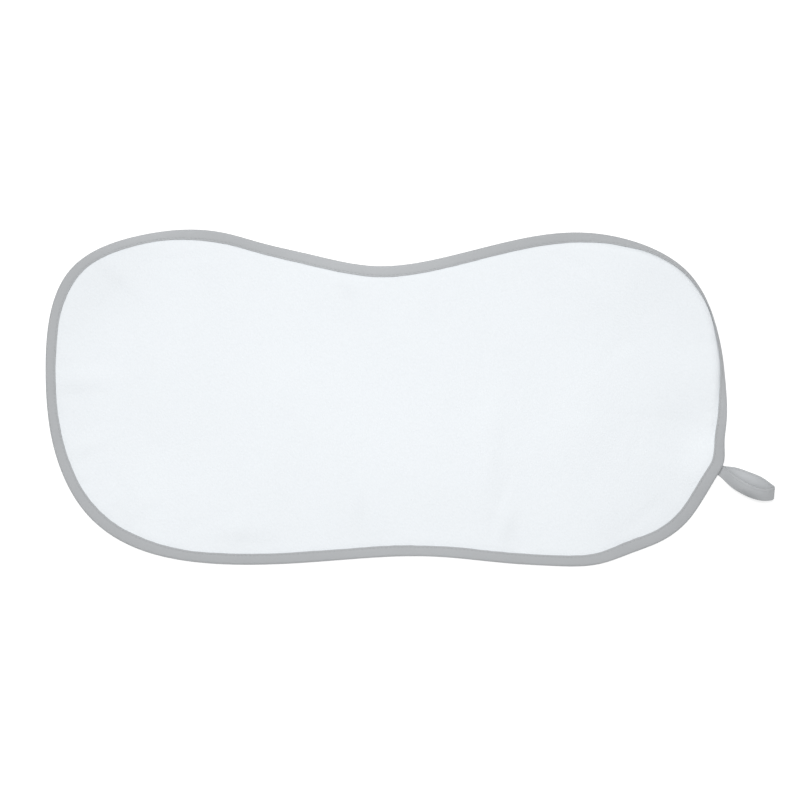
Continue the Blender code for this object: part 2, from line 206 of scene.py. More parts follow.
# The solids' soft ridges, which lift the whole cloth
RIDGES = (
    SoftForm("upper_left_pucker", -196.0, 92.0, -42.0, 34.0, 12.0, 1.0),
    SoftForm("left_crown_pucker", -134.0, 102.0, -78.0, 30.0, 11.0, 0.8),
    SoftForm("left_end_pucker", -226.0, 14.0, 4.0, 36.0, 13.0, 1.1),
    SoftForm("left_end_low_pucker", -222.0, -34.0, 22.0, 30.0, 11.0, 0.7),
    SoftForm("lower_left_pucker", -190.0, -84.0, 40.0, 32.0, 12.0, 1.0),
    SoftForm("left_hip_pucker", -112.0, -100.0, 72.0, 30.0, 12.0, 0.7),
    SoftForm("waist_pucker", -12.0, -88.0, 96.0, 38.0, 13.0, 0.9),
    SoftForm("waist_top_pucker", 30.0, 82.0, -84.0, 28.0, 12.0, 0.7),
    SoftForm("middle_crease", 77.0, -44.0, 84.0, 72.0, 14.0, 1.4),
    SoftForm("right_hip_pucker", 92.0, -98.0, 102.0, 30.0, 11.0, 1.0),
    SoftForm("lower_right_pucker", 165.0, -88.0, 112.0, 34.0, 13.0, 0.9),
    SoftForm("right_lobe_swell", 158.0, 6.0, 64.0, 80.0, 34.0, 1.2),
    SoftForm("left_lobe_swell", -158.0, -4.0, 105.0, 70.0, 30.0, 0.8),
)

# Finer creases pressed into the face alone
CREASES = (
    SoftForm("centre_press", 72.0, 22.0, 82.0, 60.0, 7.0, -0.3),
    SoftForm("waist_line", 88.0, -72.0, 70.0, 52.0, 6.0, -0.35),
    SoftForm("waist_line_low", 96.0, -104.0, 118.0, 24.0, 5.0, -0.3),
    SoftForm("right_lobe_wave", 172.0, 34.0, 38.0, 46.0, 9.0, -0.28),
    SoftForm("right_lobe_wave_low", 190.0, -26.0, 72.0, 52.0, 8.0, -0.26),
    SoftForm("right_lobe_inner", 132.0, -18.0, 100.0, 44.0, 7.0, 0.22),
    SoftForm("right_crown_fold", 150.0, 96.0, -24.0, 40.0, 7.0, -0.28),
    SoftForm("lower_right_fold", 196.0, -84.0, 38.0, 36.0, 8.0, -0.34),
    SoftForm("upper_left_fold", -206.0, 74.0, 50.0, 34.0, 8.0, -0.34),
    SoftForm("left_crown_fold", -152.0, 104.0, 6.0, 34.0, 6.0, -0.24),
    SoftForm("left_end_fold", -232.0, -8.0, 84.0, 34.0, 7.0, -0.3),
    SoftForm("left_lobe_wave", -176.0, 16.0, 62.0, 52.0, 10.0, -0.2),
    SoftForm("lower_left_fold", -196.0, -68.0, -48.0, 34.0, 7.0, -0.28),
    SoftForm("left_hip_fold", -132.0, -92.0, 20.0, 40.0, 7.0, -0.22),
    SoftForm("waist_soft_line", -24.0, -58.0, 74.0, 46.0, 8.0, -0.22),
    SoftForm("waist_top_line", 6.0, 70.0, -66.0, 30.0, 6.0, -0.22),
)

# Painted light and shade on the cotton, as a share of its colour: a lighter middle and darker patches by the
# corners, the turned edge and the puckers
COTTON_PAINTED_LIGHT_AND_SHADE = (
    SoftForm("centre", 0.0, 0.0, 0.0, 230.0, 115.0, 0.02),
    SoftForm("lower_left", -150.0, -60.0, 0.0, 95.0, 60.0, 0.012),
    SoftForm("upper_left", -212.0, 92.0, 40.0, 80.0, 46.0, -0.035),
    SoftForm("left_end", -246.0, 0.0, 90.0, 95.0, 45.0, -0.02),
    SoftForm("upper_right", 210.0, 92.0, -45.0, 90.0, 46.0, -0.032),
    SoftForm("right_end", 240.0, -12.0, 80.0, 55.0, 34.0, 0.02),
    SoftForm("lower_right", 196.0, -88.0, 30.0, 90.0, 45.0, -0.022),
    SoftForm("upper_waist", -20.0, 104.0, 0.0, 120.0, 45.0, 0.012),
    SoftForm("lower_right_side", 232.0, -84.0, 50.0, 60.0, 30.0, -0.01),
    SoftForm("lower_left_dip", -196.0, -81.0, 40.0, 22.0, 13.0, -0.025),
    SoftForm("left_hip_dip", -105.0, -104.0, 0.0, 38.0, 11.0, -0.03),
    SoftForm("waist_dip", -19.0, -84.0, 84.0, 26.0, 11.0, -0.018),
    SoftForm("right_hip_dip", 92.0, -98.0, 68.0, 20.0, 9.0, -0.035),
    SoftForm("waist_top_dip", -29.0, 80.0, -50.0, 17.0, 10.0, -0.02),
)

# The same painted light and shade for the tape of the binding and of the loop
TAPE_PAINTED_LIGHT_AND_SHADE = (
    SoftForm("waist", -20.0, 100.0, 0.0, 140.0, 40.0, 0.13),
    SoftForm("upper_left", -180.0, 124.0, 0.0, 85.0, 30.0, 0.08),
    SoftForm("lower_waist", 20.0, -118.0, 0.0, 90.0, 20.0, 0.045),
    SoftForm("lower_right", 228.0, -92.0, 50.0, 60.0, 30.0, -0.04),
    SoftForm("above_loop", 252.0, -34.0, 90.0, 18.0, 14.0, -0.05),
    SoftForm("turned_edge", 255.0, 2.0, 90.0, 44.0, 14.0, 0.14),
    # Painted light on the loop's upper strand, painted shade on its lower one
    SoftForm("upper_strand", 268.0, -57.5, -24.0, 22.0, 8.0, 0.17),
    SoftForm("lower_strand", 270.0, -72.0, -24.0, 17.0, 4.5, -0.17),
)

# The hanging loop's tape from end to end
LOOP = (
    LoopRow("lower_end", -7.5, 0.0, 0.43, 0.0, 0.8, 0.0, 7.4, 0.0),
    LoopRow("lower_root", 0.0, 0.4, 0.48, 0.0, 0.85, 0.0, 7.5, 0.0),
    LoopRow("lower_spread", 8.0, 2.3, 0.85, 0.0, 1.2, -0.15, 8.4, 0.0),
    LoopRow("lower_middle", 19.0, 3.3, 1.15, -3.0, 1.2, -0.3, 9.0, 0.0),
    LoopRow("lower_outer", 30.0, 3.3, 1.35, -1.0, 1.2, -0.2, 9.2, 4.0),
    LoopRow("lower_turn", 37.6, 1.7, 2.9, 6.0, 1.2, 0.1, 9.3, 14.0),
    LoopRow("tip", 41.6, 0.6, 6.2, 12.0, 1.2, 0.2, 9.4, 22.0),
    LoopRow("upper_turn", 39.0, -1.9, 9.5, 15.0, 1.2, 0.3, 9.3, 14.0),
    LoopRow("upper_outer", 31.0, -5.0, 11.1, 17.0, 1.2, 0.8, 9.1, 4.0),
    LoopRow("upper_middle", 20.0, -5.5, 10.8, 18.0, 1.2, 1.0, 9.0, 0.0),
    LoopRow("upper_spread", 9.5, -3.6, 6.5, 14.0, 1.2, 0.6, 8.6, 0.0),
    LoopRow("upper_root", 0.0, -0.4, 1.56, 1.0, 0.85, 0.0, 7.5, 0.0),
    LoopRow("upper_end", -7.5, -0.2, 1.5, 0.0, 0.8, 0.0, 7.4, 0.0),
)


def fade(t: Array) -> Array:
    """1 at t = 0, falling smoothly to 0 at t = 1."""
    return 0.5 + 0.5 * np.cos(math.pi * np.clip(t, 0.0, 1.0))


def cubic(start: Array, end: Array, start_slope: Array, end_slope: Array, t: Array) -> Array:
    """Points at t, from 0 to 1, on the cubic with these ends and these slopes over the step."""
    first = (2 * t**3 - 3 * t**2 + 1) * start + (t**3 - 2 * t**2 + t) * start_slope
    return first + (3 * t**2 - 2 * t**3) * end + (t**3 - t**2) * end_slope


def spline(points: Array, closed: bool, steps: int) -> Array:
    """Points on a smooth cubic through the given rows, with chord-length knots.

    Args:
        points: The rows to pass through; the first two columns give the distance between rows.
        closed: Whether the last row joins the first.
        steps: Points made for each row.

    Returns:
        The points of the curve, one a row.
    """
    points = np.asarray(points, dtype=float)
    count = len(points)
    gaps = np.linalg.norm((np.roll(points, -1, 0) - points)[:, :2], axis=1)
    matrix = np.zeros((count, count))
    right = np.zeros(points.shape)
    for i in range(count):
        after = (i + 1) % count
        if not closed and i in (0, count - 1):
            other = 1 if i == 0 else count - 2
            matrix[i, i] = 1.0
            right[i] = (points[max(i, other)] - points[min(i, other)]) / gaps[min(i, other)]
            continue
        matrix[i, i - 1] = gaps[i]
        matrix[i, i] = 2 * (gaps[i - 1] + gaps[i])
        matrix[i, after] = gaps[i - 1]
        right[i] = 3 * gaps[i] * (points[i] - points[i - 1]) / gaps[i - 1]
        right[i] += 3 * gaps[i - 1] * (points[after] - points[i]) / gaps[i]
    slopes = np.linalg.solve(matrix, right)
    t = (np.arange(steps) / steps)[:, None]
    curve = []
    for i in range(count if closed else count - 1):
        after = (i + 1) % count
        curve.append(cubic(points[i], points[after], gaps[i] * slopes[i], gaps[i] * slopes[after], t))
    if not closed:
        curve.append(points[-1:])
    return np.concatenate(curve)


def ring_noise(along: Array, length: float, bumps: int, seed: int) -> Array:
    """Smooth unevenness from -1 to 1 that repeats once round a closed edge.

    Args:
        along: Distances round the edge.
        length: Length of the edge.
        bumps: Random values spread over it.
        seed: Seed of those values.

    Returns:
        The unevenness at each distance.
    """
    values = np.random.default_rng(seed).uniform(-1.0, 1.0, bumps)
    place = np.asarray(along) / length * bumps
    low = np.floor(place).astype(int)
    part = 1.0 - fade(place - low)
    return values[low % bumps] * (1.0 - part) + values[(low + 1) % bumps] * part


def plane_noise(x: Array, y: Array, size: float, seed: int, lattice: int = 97) -> Array:
    """Smooth unevenness from -1 to 1 over a plane.

    Args:
        x: Places along.
        y: Places across.
        size: Distance between the random values.
        seed: Seed of those values.
        lattice: Values each way before they repeat.

    Returns:
        The unevenness at each place.
    """
    values = np.random.default_rng(seed).uniform(-1.0, 1.0, (lattice, lattice))
    column = np.floor(x / size).astype(int)
    row = np.floor(y / size).astype(int)
    right = 1.0 - fade(x / size - column)
    up = 1.0 - fade(y / size - row)
    low = values[column % lattice, row % lattice] * (1 - right)
    low += values[(column + 1) % lattice, row % lattice] * right
    high = values[column % lattice, (row + 1) % lattice] * (1 - right)
    high += values[(column + 1) % lattice, (row + 1) % lattice] * right
    return low * (1 - up) + high * up


@dataclass
class LaidCloth:
    """The shape in which the cloth lies: its silhouette, how its edge turns down, and what lifts it."""

    press: float = 0.9
    seat_gap: float = 0.3
    tape: float = 0.7
    panel_half: float = 1.5
    press_fade: float = 4.5
    bend_arc: float = 12.5
    flat_turn: float = 0.05
    ring_arc: float = 14.5
    crest_reach: float = 75.0
    outline_steps: int = 200
    loop_root: tuple[float, float] = (250.9, -54.1)
    loop_heading: float = -24.0
    seat_lift: float = 2.25
    seat_inset: float = 4.0
    seat_flat: float = 9.5
    seat_reach: float = 32.0

    def __post_init__(self) -> None:
        """Works out the silhouette's points and normals, and the slopes between the edge table's rows."""
        self.points = spline(np.array([row[1:3] for row in OUTLINE]), True, self.outline_steps)
        ahead = np.roll(self.points, -1, 0)
        lengths = np.linalg.norm(ahead - self.points, axis=1)
        self.along = np.concatenate([[0.0], np.cumsum(lengths)[:-1]])
        self.length = float(lengths.sum())
        tangent = ahead - np.roll(self.points, 1, 0)
        tangent /= np.linalg.norm(tangent, axis=1)[:, None]
        self.normals = np.stack([tangent[:, 1], -tangent[:, 0]], axis=1)
        self.tree = kdtree.KDTree(len(self.points))
        for index, (x, y) in enumerate(self.points):
            self.tree.insert((x, y, 0.0), index)
        self.tree.balance()
        places = np.array([row[1:3] for row in EDGE])
        along, _ = self.nearest(places[:, 0], places[:, 1])
        self.stops = np.array(sorted((s, row.band, row.turn) for s, row in zip(along, EDGE)))
        self.spans = (np.roll(self.stops[:, 0], -1) - self.stops[:, 0]) % self.length
        rise = (np.roll(self.stops[:, 1:], -1, 0) - self.stops[:, 1:]) / self.spans[:, None]
        before = np.roll(rise, 1, 0)
        same_way = before * rise > 0
        self.slopes = np.where(same_way, 2 * before * rise / np.where(same_way, before + rise, 1.0), 0.0)

    @property
    def fold_inner(self) -> float:
        """Radius of the tape's inner face where it folds over the panel's edge."""
        return self.press + self.seat_gap

    @property
    def fold_outer(self) -> float:
        """Radius of the tape's outer face where it folds over the panel's edge."""
        return self.fold_inner + self.tape

    def nearest(self, x: Array, y: Array) -> tuple[Array, Array]:
        """Distance along the edge of the nearest silhouette point, and how far in each place lies.

        Args:
            x: Places along the cloth.
            y: Places across the cloth.

        Returns:
            The distances along the edge and the insets.
        """
        place = np.stack([x, y], axis=1)
        pick = np.array([self.tree.find((a, b, 0.0))[1] for a, b in place])
        gap = self.points[pick] - place
        inset = (gap * self.normals[pick]).sum(axis=1)
        run = gap[:, 0] * self.normals[pick, 1] - gap[:, 1] * self.normals[pick, 0]
        return self.along[pick] + run, inset

    def at(self, along: Array) -> tuple[Array, Array]:
        """Places and outward normals at distances along the edge, one a row."""
        columns = []
        for values in (self.points, self.normals):
            for k in (0, 1):
                columns.append(np.interp(along, self.along, values[:, k], period=self.length))
        place = np.stack(columns[:2], axis=1)
        normal = np.stack(columns[2:], axis=1)
        return place, normal / np.linalg.norm(normal, axis=1)[:, None]

    def finish(self, along: Array) -> tuple[Array, Array]:
        """Width of the binding and turn-down in radians, on a curve that stays within the table's rows."""
        along = np.asarray(along) % self.length
        index = np.searchsorted(self.stops[:, 0], along, side="right") - 1
        after = (index + 1) % len(self.stops)
        span = self.spans[index][:, None]
        t = ((along - self.stops[index, 0]) % self.length)[:, None] / span
        start_slope = self.slopes[index] * span
        end_slope = self.slopes[after] * span
        value = cubic(self.stops[index, 1:], self.stops[after, 1:], start_slope, end_slope, t)
        return value[:, 0], np.radians(value[:, 1])

    def bend(self, turn: Array, arc: Array) -> tuple[Array, Array, Array]:
        """How the edge zone curves down towards its fold; past upright, its bend stays on the silhouette.

        Args:
            turn: Angle that the edge is turned down, in radians.
            arc: Distance in from the fold's centre, along the cloth.

        Returns:
            The inset in plan, the climb and the slope in radians.
        """
        flat = turn < math.radians(self.flat_turn)
        turn = np.maximum(turn, math.radians(self.flat_turn))
        radius = self.bend_arc / turn
        slope = turn * (1.0 - np.clip(arc, 0.0, self.bend_arc) / self.bend_arc)
        tuck = np.where(turn > math.pi / 2, radius * (1.0 - np.sin(turn)), 0.0)
        inset = tuck + radius * (np.sin(turn) - np.sin(slope)) + np.maximum(arc - self.bend_arc, 0.0)
        climb = np.where(flat, 0.0, radius * (np.cos(slope) - np.cos(turn)))
        return inset, climb, np.where(flat, 0.0, slope)

    def lift(self, x: Array, y: Array) -> Array:
        """Height by which the soft ridges and the loop's sewn ends raise the cloth from the floor."""
        heading = math.radians(self.loop_heading)
        seat_x = self.loop_root[0] - self.seat_inset * math.cos(heading)
        seat_y = self.loop_root[1] - self.seat_inset * math.sin(heading)
        away = np.hypot(x - seat_x, y - seat_y) - self.seat_flat
        seat = self.seat_lift * fade(away / (self.seat_reach - self.seat_flat))
        return seat + sum(ridge.at(x, y) for ridge in RIDGES)

    def crest(self, x: Array, y: Array) -> Array:
        """Height of the cloth inside a turned-down edge, fading to nothing towards the middle."""
        along, inset = self.nearest(x, y)
        _, turn = self.finish(along)
        edge_inset, climb, _ = self.bend(turn, np.full(len(turn), self.ring_arc))
        return climb * fade((inset - self.fold_outer - edge_inset) / self.crest_reach)

    def plan(self, along: Array, arc: Array) -> Array:
        """Plan places of the mid surface in the edge zone, one a row."""
        place, normal = self.at(along)
        _, turn = self.finish(along)
        inset, _, _ = self.bend(turn, np.maximum(arc, 0.0))
        return place - normal * (self.fold_outer + inset)[:, None]

    def pressed(self, along: Array, arc: Array) -> Array:
        """1 where the binding presses the panel, falling to 0 inside it."""
        band, _ = self.finish(along)
        return fade((arc - (band - self.fold_outer)) / self.press_fade)

    def edge_point(self, along: Array, arc: Array, offset: Array) -> Array:
        """Points in the bound edge.

        Args:
            along: Distances along the edge.
            arc: Distances in from the fold's centre; a negative one is beyond it.
            offset: Distances from the mid surface, up where positive.

        Returns:
            The points, one a row.
        """
        _, normal = self.at(along)
        _, turn = self.finish(along)
        _, climb, slope = self.bend(turn, np.maximum(arc, 0.0))
        centre = self.plan(along, arc)
        middle = self.fold_outer + (self.panel_half - self.fold_outer) * (1.0 - self.pressed(along, arc))
        beyond = np.maximum(-arc, 0.0)
        out = offset * np.sin(slope) + beyond * np.cos(slope)
        rise = offset * np.cos(slope) - beyond * np.sin(slope)
        height = middle + climb + self.lift(centre[:, 0], centre[:, 1]) + rise
        return np.column_stack([centre + normal * out[:, None], height])


@dataclass(frozen=True)
class GridPatch:
    """A grid of cells whose points are placed by a formula, as a tailor lays a net over a form."""

    columns: int
    rows: int
    place: Place
    wrap: Place | None = None

    def add_to(self, bm: bmesh.types.BMesh) -> None:
        """Adds the grid to a mesh in the making.

        Args:
            bm: The mesh that takes the grid.
        """
        part = bmesh.new()
        bmesh.ops.create_grid(part, x_segments=self.columns, y_segments=self.rows, size=1.0)
        mesh = bpy.data.meshes.new("patch")
        part.to_mesh(mesh)
        part.free()
        flat = np.empty(len(mesh.vertices) * 3, np.float32)
        mesh.vertices.foreach_get("co", flat)
        flat = flat.reshape(-1, 3)
        column = np.rint((flat[:, 0] + 1.0) / 2.0 * self.columns).astype(int)
        row = np.rint((flat[:, 1] + 1.0) / 2.0 * self.rows).astype(int)
        mesh.vertices.foreach_set("co", (self.place(column, row) * MM).astype(np.float32).ravel())
        if self.wrap is not None:
            corner = np.empty(len(mesh.loops), np.int32)
            mesh.loops.foreach_get("vertex_index", corner)
            layer = mesh.uv_layers.new(name="Tape")
            uv = self.wrap(column, row)[corner] * MM
            layer.data.foreach_set("uv", uv.astype(np.float32).ravel())
        bm.from_mesh(mesh)
        bpy.data.meshes.remove(mesh)


def sewn_mesh(name: str, patches: list[GridPatch], merge: float = 0.002) -> bpy.types.Object:
    """Joins grids along their common borders into one closed, smooth object.

    Args:
        name: Name of the piece.
        patches: The grids.
        merge: Points closer than this become one.

    Returns:
        The new object, linked to the scene.
    """
    bm = bmesh.new()
    bm.loops.layers.uv.new("Tape")
    for patch in patches:
        patch.add_to(bm)
    bmesh.ops.remove_doubles(bm, verts=bm.verts, dist=merge * MM)
    open_edges = [edge for edge in bm.edges if edge.is_boundary]
    if open_edges:
        bmesh.ops.holes_fill(bm, edges=open_edges, sides=0)
    bmesh.ops.recalc_face_normals(bm, faces=bm.faces)
    return finished(name, bm)


def finished(name: str, bm: bmesh.types.BMesh) -> bpy.types.Object:
    """Turns a mesh in the making into a smooth object at the origin.

    Args:
        name: Name of the piece.
        bm: The mesh, which is freed.

    Returns:
        The new object, linked to the scene.
    """
    mesh = bpy.data.meshes.new(name)
    bm.to_mesh(mesh)
    bm.free()
    mesh.shade_smooth()
    obj = bpy.data.objects.new(name, mesh)
    bpy.context.scene.collection.objects.link(obj)
    return obj


@dataclass
class NodeBoard:
    """A material in the making: it adds nodes, sets their inputs and links them."""

    name: str

    def __post_init__(self) -> None:
        """Starts the material with its own surface shader."""
        self.material = bpy.data.materials.new(self.name)
        self.material.use_nodes = True
        self.nodes = self.material.node_tree.nodes
        self.links = self.material.node_tree.links
        self.shader = self.nodes["Principled BSDF"]

    def add(self, kind: str, inputs: dict[str, object] | None = None, **settings: object) -> bpy.types.Node:
        """Adds a node.

        Args:
            kind: The node's type name.
            inputs: Values or output sockets for its inputs, by name or number.
            settings: The node's own properties.

        Returns:
            The new node.
        """
        node = self.nodes.new(kind)
        for key, value in settings.items():
            setattr(node, key, value)
        self.feed(node, inputs or {})
        return node

    def feed(self, node: bpy.types.Node, inputs: dict[str, object]) -> None:
        """Sets a node's inputs, each to a value or to another node's output."""
        for key, value in inputs.items():
            if isinstance(value, bpy.types.NodeSocket):
                self.links.new(value, node.inputs[key])
            else:
                node.inputs[key].default_value = value

    def math(self, operation: str, first: object, second: object = 0.0) -> bpy.types.NodeSocket:
        """Output of a sum on two values or sockets."""
        return self.add("ShaderNodeMath", {0: first, 1: second}, operation=operation).outputs[0]

    def noise(self, vector: bpy.types.NodeSocket, scale: float, detail: float, rough: float = 0.5) -> object:
        """Output from 0 to 1 of a noise pattern, whose scale is in repeats a metre."""
        inputs = {"Vector": vector, "Scale": scale, "Detail": detail, "Roughness": rough}
        return self.add("ShaderNodeTexNoise", inputs).outputs["Fac"]

    def blend(self, amount: object, first: Color, second: Color) -> bpy.types.NodeSocket:
        """Output of a mix of two colours or sockets."""
        node = self.add("ShaderNodeMix", {}, data_type="RGBA")
        self.feed(node, {0: amount, 6: first, 7: second})
        return node.outputs[2]

    def with_painted_light_and_shade(self, color: bpy.types.NodeSocket) -> bpy.types.NodeSocket:
        """The colour, made a little lighter or darker by the light and shade painted on the piece."""
        # The attribute holds painted light and shade
        tone = self.add("ShaderNodeAttribute", attribute_name=PAINTED_LIGHT_LAYER).outputs["Fac"]
        node = self.add("ShaderNodeMix", {}, data_type="RGBA", blend_type="MULTIPLY")
        level = self.blend(tone, (0.75, 0.75, 0.75, 1.0), (1.25, 1.25, 1.25, 1.0))
        self.feed(node, {0: 1.0, 6: color, 7: level})
        return node.outputs[2]

    def spread(self, value: bpy.types.NodeSocket, low: float, high: float) -> bpy.types.NodeSocket:
        """A value from 0 to 1 spread between two limits."""
        inputs = {"Value": value, "To Min": low, "To Max": high}
        return self.add("ShaderNodeMapRange", inputs).outputs[0]


def set_painted_light_and_shade(piece: bpy.types.Object, tones: tuple[SoftForm, ...], spread: float = 2.0) -> None:
    """Gives each point of a piece its painted light and shade, as an attribute from 0, darker, to 1,
    lighter.

    Args:
        piece: The piece, already in place.
        tones: Where light or shade is painted on it, lighter or darker.
        spread: How fast the attribute changes with the tone.
    """
    flat = np.empty(len(piece.data.vertices) * 3, np.float32)
    piece.data.vertices.foreach_get("co", flat)
    place = flat.reshape(-1, 3) / MM
    tone = sum(form.at(place[:, 0], place[:, 1]) for form in tones)
    layer = piece.data.attributes.new(PAINTED_LIGHT_LAYER, "FLOAT", "POINT")
    layer.data.foreach_set("value", np.clip(0.5 + spread * tone, 0.0, 1.0).astype(np.float32))


def scaled(color: Color, amount: float) -> Color:
    """The colour, lighter or darker by a factor."""
    return (color[0] * amount, color[1] * amount, color[2] * amount, 1.0)


@dataclass(frozen=True)
class TerryCotton:
    """White cotton with a short, even pile, a little crushed and soft in tone."""

    color: Color = (0.825, 0.857, 0.885, 1.0)
    loops_per_metre: float = 640.0
    fibres_per_metre: float = 2600.0
    crush_per_metre: float = 34.0
    pile: float = 0.00042
    roughness: float = 0.96
    sheen: float = 0.22

    def material(self) -> bpy.types.Material:
        """Makes the finish."""
        board = NodeBoard("white_terry_cotton")
        place = board.add("ShaderNodeTexCoord").outputs["Object"]
        loops = board.add(
            "ShaderNodeTexVoronoi",
            {"Vector": place, "Scale": self.loops_per_metre, "Smoothness": 0.55, "Randomness": 0.9},
            feature="SMOOTH_F1",
        ).outputs["Distance"]
        fibres = board.noise(place, self.fibres_per_metre, 3.0, 0.6)
        crush = board.noise(place, self.crush_per_metre, 3.0)
        clouds = board.noise(place, 11.0, 2.0)
        nub = board.math("SUBTRACT", 1.0, loops)
        tall = board.math("MULTIPLY", nub, board.spread(crush, 0.75, 1.2))
        height = board.math("ADD", tall, board.math("MULTIPLY", fibres, 0.35))
        bump = board.add("ShaderNodeBump", {"Height": height, "Strength": 0.42, "Distance": self.pile})
        tone = board.blend(clouds, scaled(self.color, 0.975), scaled(self.color, 1.02))
        crushed = board.blend(board.spread(crush, 0.0, 0.5), tone, scaled(self.color, 0.975))
        # Painted shade in the hollows between the pile's loops
        pile_painted_shade = board.blend(board.spread(loops, 0.0, 0.22), crushed, scaled(self.color, 0.86))
        board.feed(
            board.shader,
            {
                # Base colour with painted light and shade
                "Base Color": board.with_painted_light_and_shade(pile_painted_shade),
                "Roughness": self.roughness,
                "Sheen Weight": self.sheen,
                "Sheen Roughness": 0.5,
                "Specular IOR Level": 0.15,
                "Normal": bump.outputs["Normal"],
            },
        )
        return board.material


@dataclass(frozen=True)
class BiasTape:
    """Grey plain-woven cotton tape cut on the bias, its threads lying at 45 degrees to its length."""

    color: Color = (0.44, 0.453, 0.466, 1.0)
    thread: float = 0.00052
    weave: float = 0.00012
    bias: float = 45.0
    roughness: float = 0.9
    sheen: float = 0.12

    def material(self) -> bpy.types.Material:
        """Makes the finish."""
        board = NodeBoard("grey_bias_tape")
        strip = board.add("ShaderNodeUVMap", uv_map="Tape").outputs["UV"]
        bias_turn = (0.0, 0.0, math.radians(self.bias))
        turned = board.add("ShaderNodeMapping", {"Vector": strip, "Rotation": bias_turn}).outputs["Vector"]
        wave_scale = math.pi / 10.0 / (2.0 * self.thread)
        rows = {"Vector": turned, "Scale": wave_scale, "Distortion": 0.35, "Detail": 1.0}
        warp = board.add("ShaderNodeTexWave", rows, bands_direction="X").outputs["Fac"]
        weft = board.add("ShaderNodeTexWave", rows, bands_direction="Y").outputs["Fac"]
        over = board.math("MULTIPLY", board.math("SUBTRACT", warp, 0.5), board.math("SUBTRACT", weft, 0.5))
        cells = board.math("ADD", board.math("MULTIPLY", over, 2.0), 0.5)
        long_thread = board.add("ShaderNodeMapping", {"Vector": turned, "Scale": (1.0, 0.06, 1.0)})
        cross_thread = board.add("ShaderNodeMapping", {"Vector": turned, "Scale": (0.06, 1.0, 1.0)})
        slub = board.noise(long_thread.outputs["Vector"], 1900.0, 1.0)
        slub_across = board.noise(cross_thread.outputs["Vector"], 1900.0, 1.0)
        place = board.add("ShaderNodeTexCoord").outputs["Object"]
        blotch = board.noise(place, 48.0, 3.0)
        fuzz = board.noise(place, 3400.0, 2.0)
        height = board.math("ADD", cells, board.math("MULTIPLY", fuzz, 0.4))
        bump = board.add("ShaderNodeBump", {"Height": height, "Strength": 0.6, "Distance": self.weave})
        threads = board.math("MULTIPLY", board.math("ADD", slub, slub_across), 0.5)
        patches = board.spread(blotch, 0.1, 0.9)
        tone = board.blend(patches, scaled(self.color, 0.93), scaled(self.color, 1.07))
        woven = board.blend(threads, scaled(self.color, 0.9), scaled(self.color, 1.1))
        mixed = board.blend(0.5, tone, woven)
        # Painted shade in the hollows of the weave
        hollow = board.blend(board.spread(cells, 0.35, 0.0), mixed, scaled(self.color, 0.72))
        board.feed(
            board.shader,
            {
                # Base colour with painted light and shade
                "Base Color": board.with_painted_light_and_shade(hollow),
                "Roughness": self.roughness,
                "Sheen Weight": self.sheen,
                "Sheen Roughness": 0.45,
                "Specular IOR Level": 0.2,
                "Normal": bump.outputs["Normal"],
            },
        )
        return board.material


@dataclass(frozen=True)
class SewingThread:
    """Matt grey spun sewing thread."""

    color: Color = (0.4, 0.412, 0.424, 1.0)
    twist_per_metre: float = 900.0
    roughness: float = 0.75

    def material(self) -> bpy.types.Material:
        """Makes the finish."""
        board = NodeBoard("grey_sewing_thread")
        place = board.add("ShaderNodeTexCoord").outputs["Object"]
        inputs = {"Vector": place, "Scale": self.twist_per_metre, "Distortion": 2.0}
        twist = board.add("ShaderNodeTexWave", inputs, bands_direction="DIAGONAL").outputs["Fac"]
        tone = board.noise(place, 300.0, 2.0)
        bump = board.add("ShaderNodeBump", {"Height": twist, "Strength": 0.5, "Distance": 0.00006})
        color = board.blend(tone, scaled(self.color, 0.9), scaled(self.color, 1.1))
        board.feed(
            board.shader,
            {
                "Base Color": color,
                "Roughness": self.roughness,
                "Sheen Weight": 0.1,
                "Specular IOR Level": 0.3,
                "Normal": bump.outputs["Normal"],
            },
        )
        return board.material


